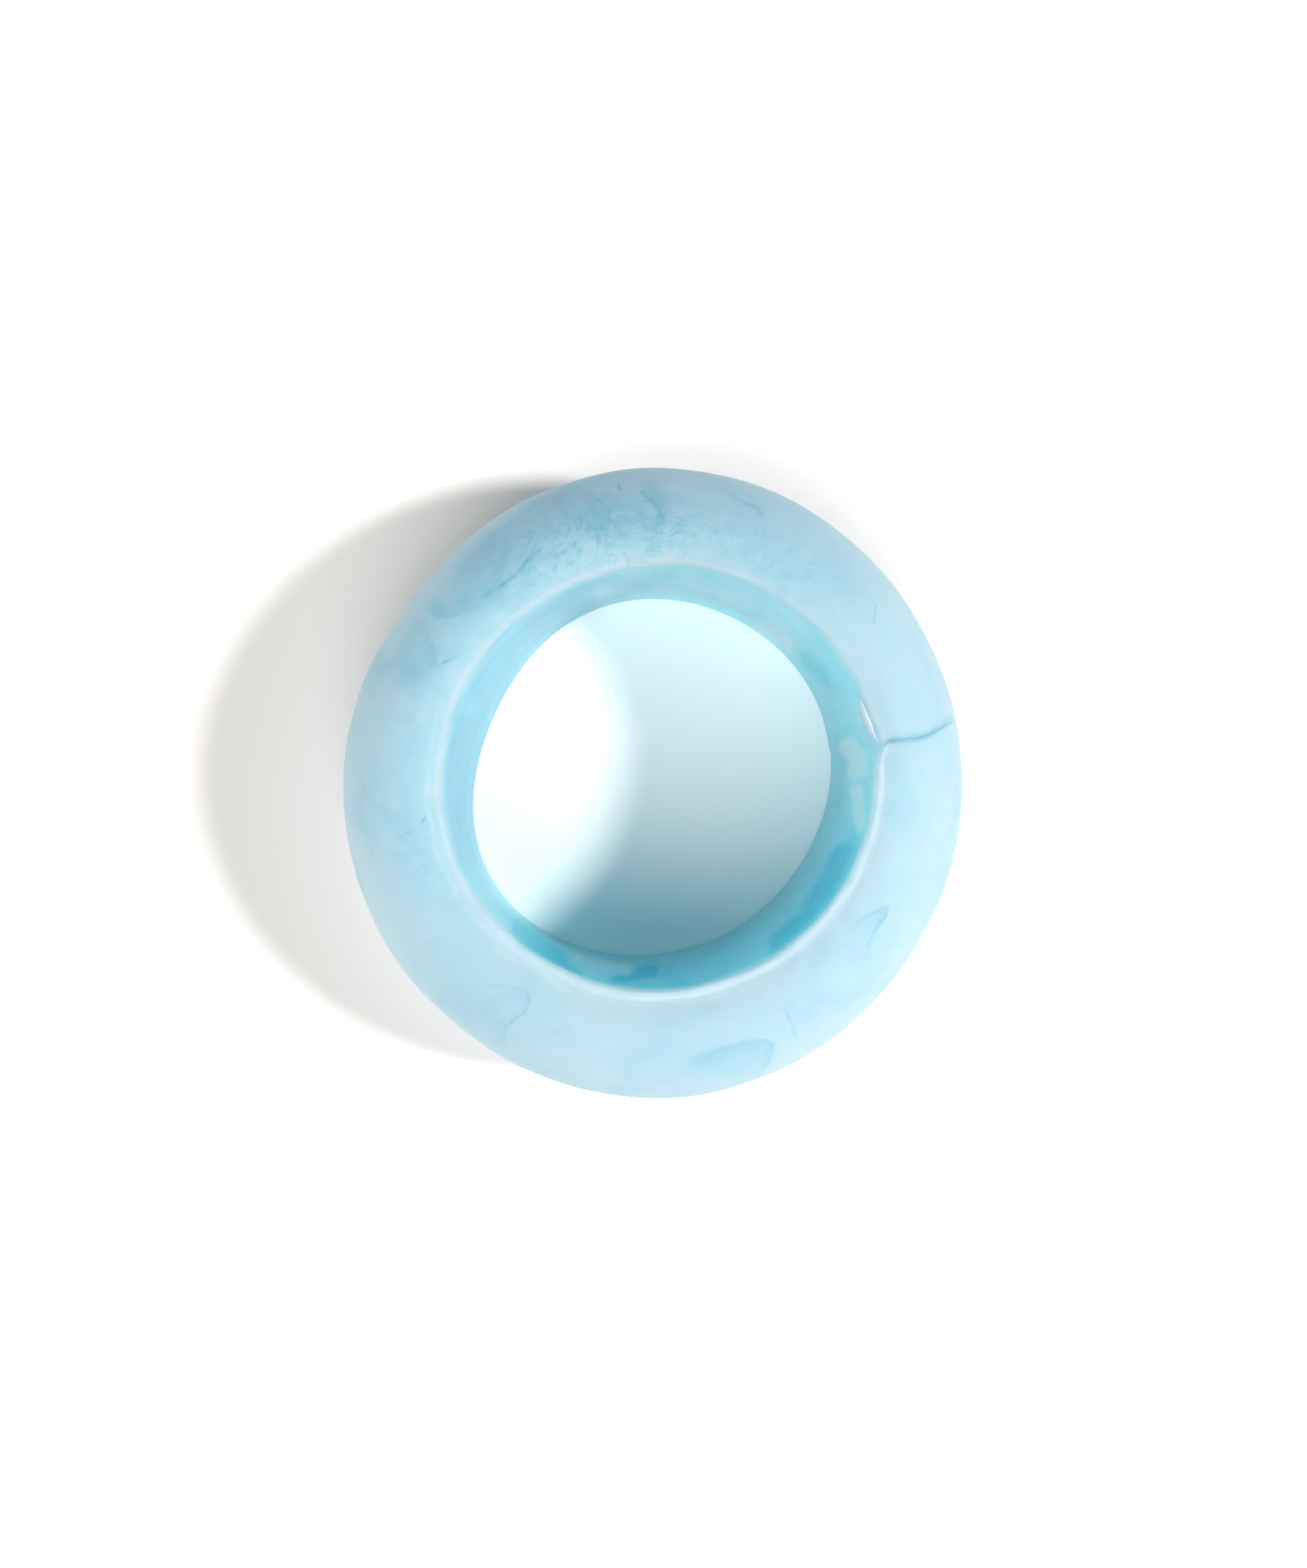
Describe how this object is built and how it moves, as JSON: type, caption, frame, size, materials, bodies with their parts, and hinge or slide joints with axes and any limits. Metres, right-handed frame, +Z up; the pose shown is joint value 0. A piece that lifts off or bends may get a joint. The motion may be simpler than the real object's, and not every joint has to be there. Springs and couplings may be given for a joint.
{
  "type": "resin bangle ring",
  "caption": "Chunky hand-made ring of marbled translucent resin, a D-section band bent round a wrist-sized opening and closed by a bonded join.",
  "frame": {"origin": "middle of the ring's footprint, on the surface that it rests on", "axes": "+Z up through the wrist opening, the shortest way across the ring; +X towards the join, which is 10 degrees from it towards +Y"},
  "size_m": [0.1002, 0.102, 0.0368],
  "materials": {
    "marbled_resin": "satin outside, glossy inside, marbled pale blue, slightly translucent",
    "cured_fill": "glossy deeper blue, cured resin"
  },
  "bodies": {
    "root": {"resin_band": "marbled_resin", "join_fill": "cured_fill"}
  },
  "joints": []
}
